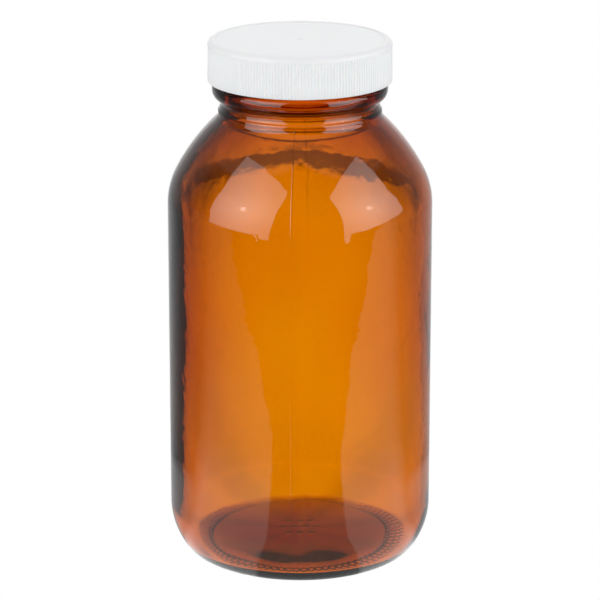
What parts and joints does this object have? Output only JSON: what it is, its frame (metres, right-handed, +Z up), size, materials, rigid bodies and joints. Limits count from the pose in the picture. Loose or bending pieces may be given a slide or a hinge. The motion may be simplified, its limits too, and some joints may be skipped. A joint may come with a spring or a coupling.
{
  "type": "amber glass wide-mouth bottle",
  "caption": "Round wide-mouth amber glass medicine bottle, empty, with a ribbed white plastic screw cap and a foam sealing disc.",
  "frame": {"origin": "centre of the ring that the bottle stands on", "axes": "+Z up, along the axis of the bottle, the neck and the screw thread"},
  "size_m": [0.08, 0.08, 0.1603],
  "materials": {
    "amber_glass": "clear, polished",
    "cap_plastic": "satin, moulded",
    "liner_foam": "matt foam"
  },
  "bodies": {
    "bottle": {"glass_bottle": "amber_glass"},
    "liner": {"cap_liner": "liner_foam"},
    "cap": {"screw_cap": "cap_plastic"}
  },
  "joints": [
    {"name": "cap_lift", "type": "slide", "parent": "bottle", "child": "liner", "axis": [0, 0, 1], "range_m": [0, 0.01271]},
    {"name": "cap_turn", "type": "hinge", "parent": "liner", "child": "cap", "pos_m": [0, 0, 0.1526], "axis": [0, 0, 1], "range_deg": [0, 1080]}
  ],
  "couplings": [
    {"joint": "cap_lift", "follows": "cap_turn", "m_per_rad": 0.00067376}
  ]
}
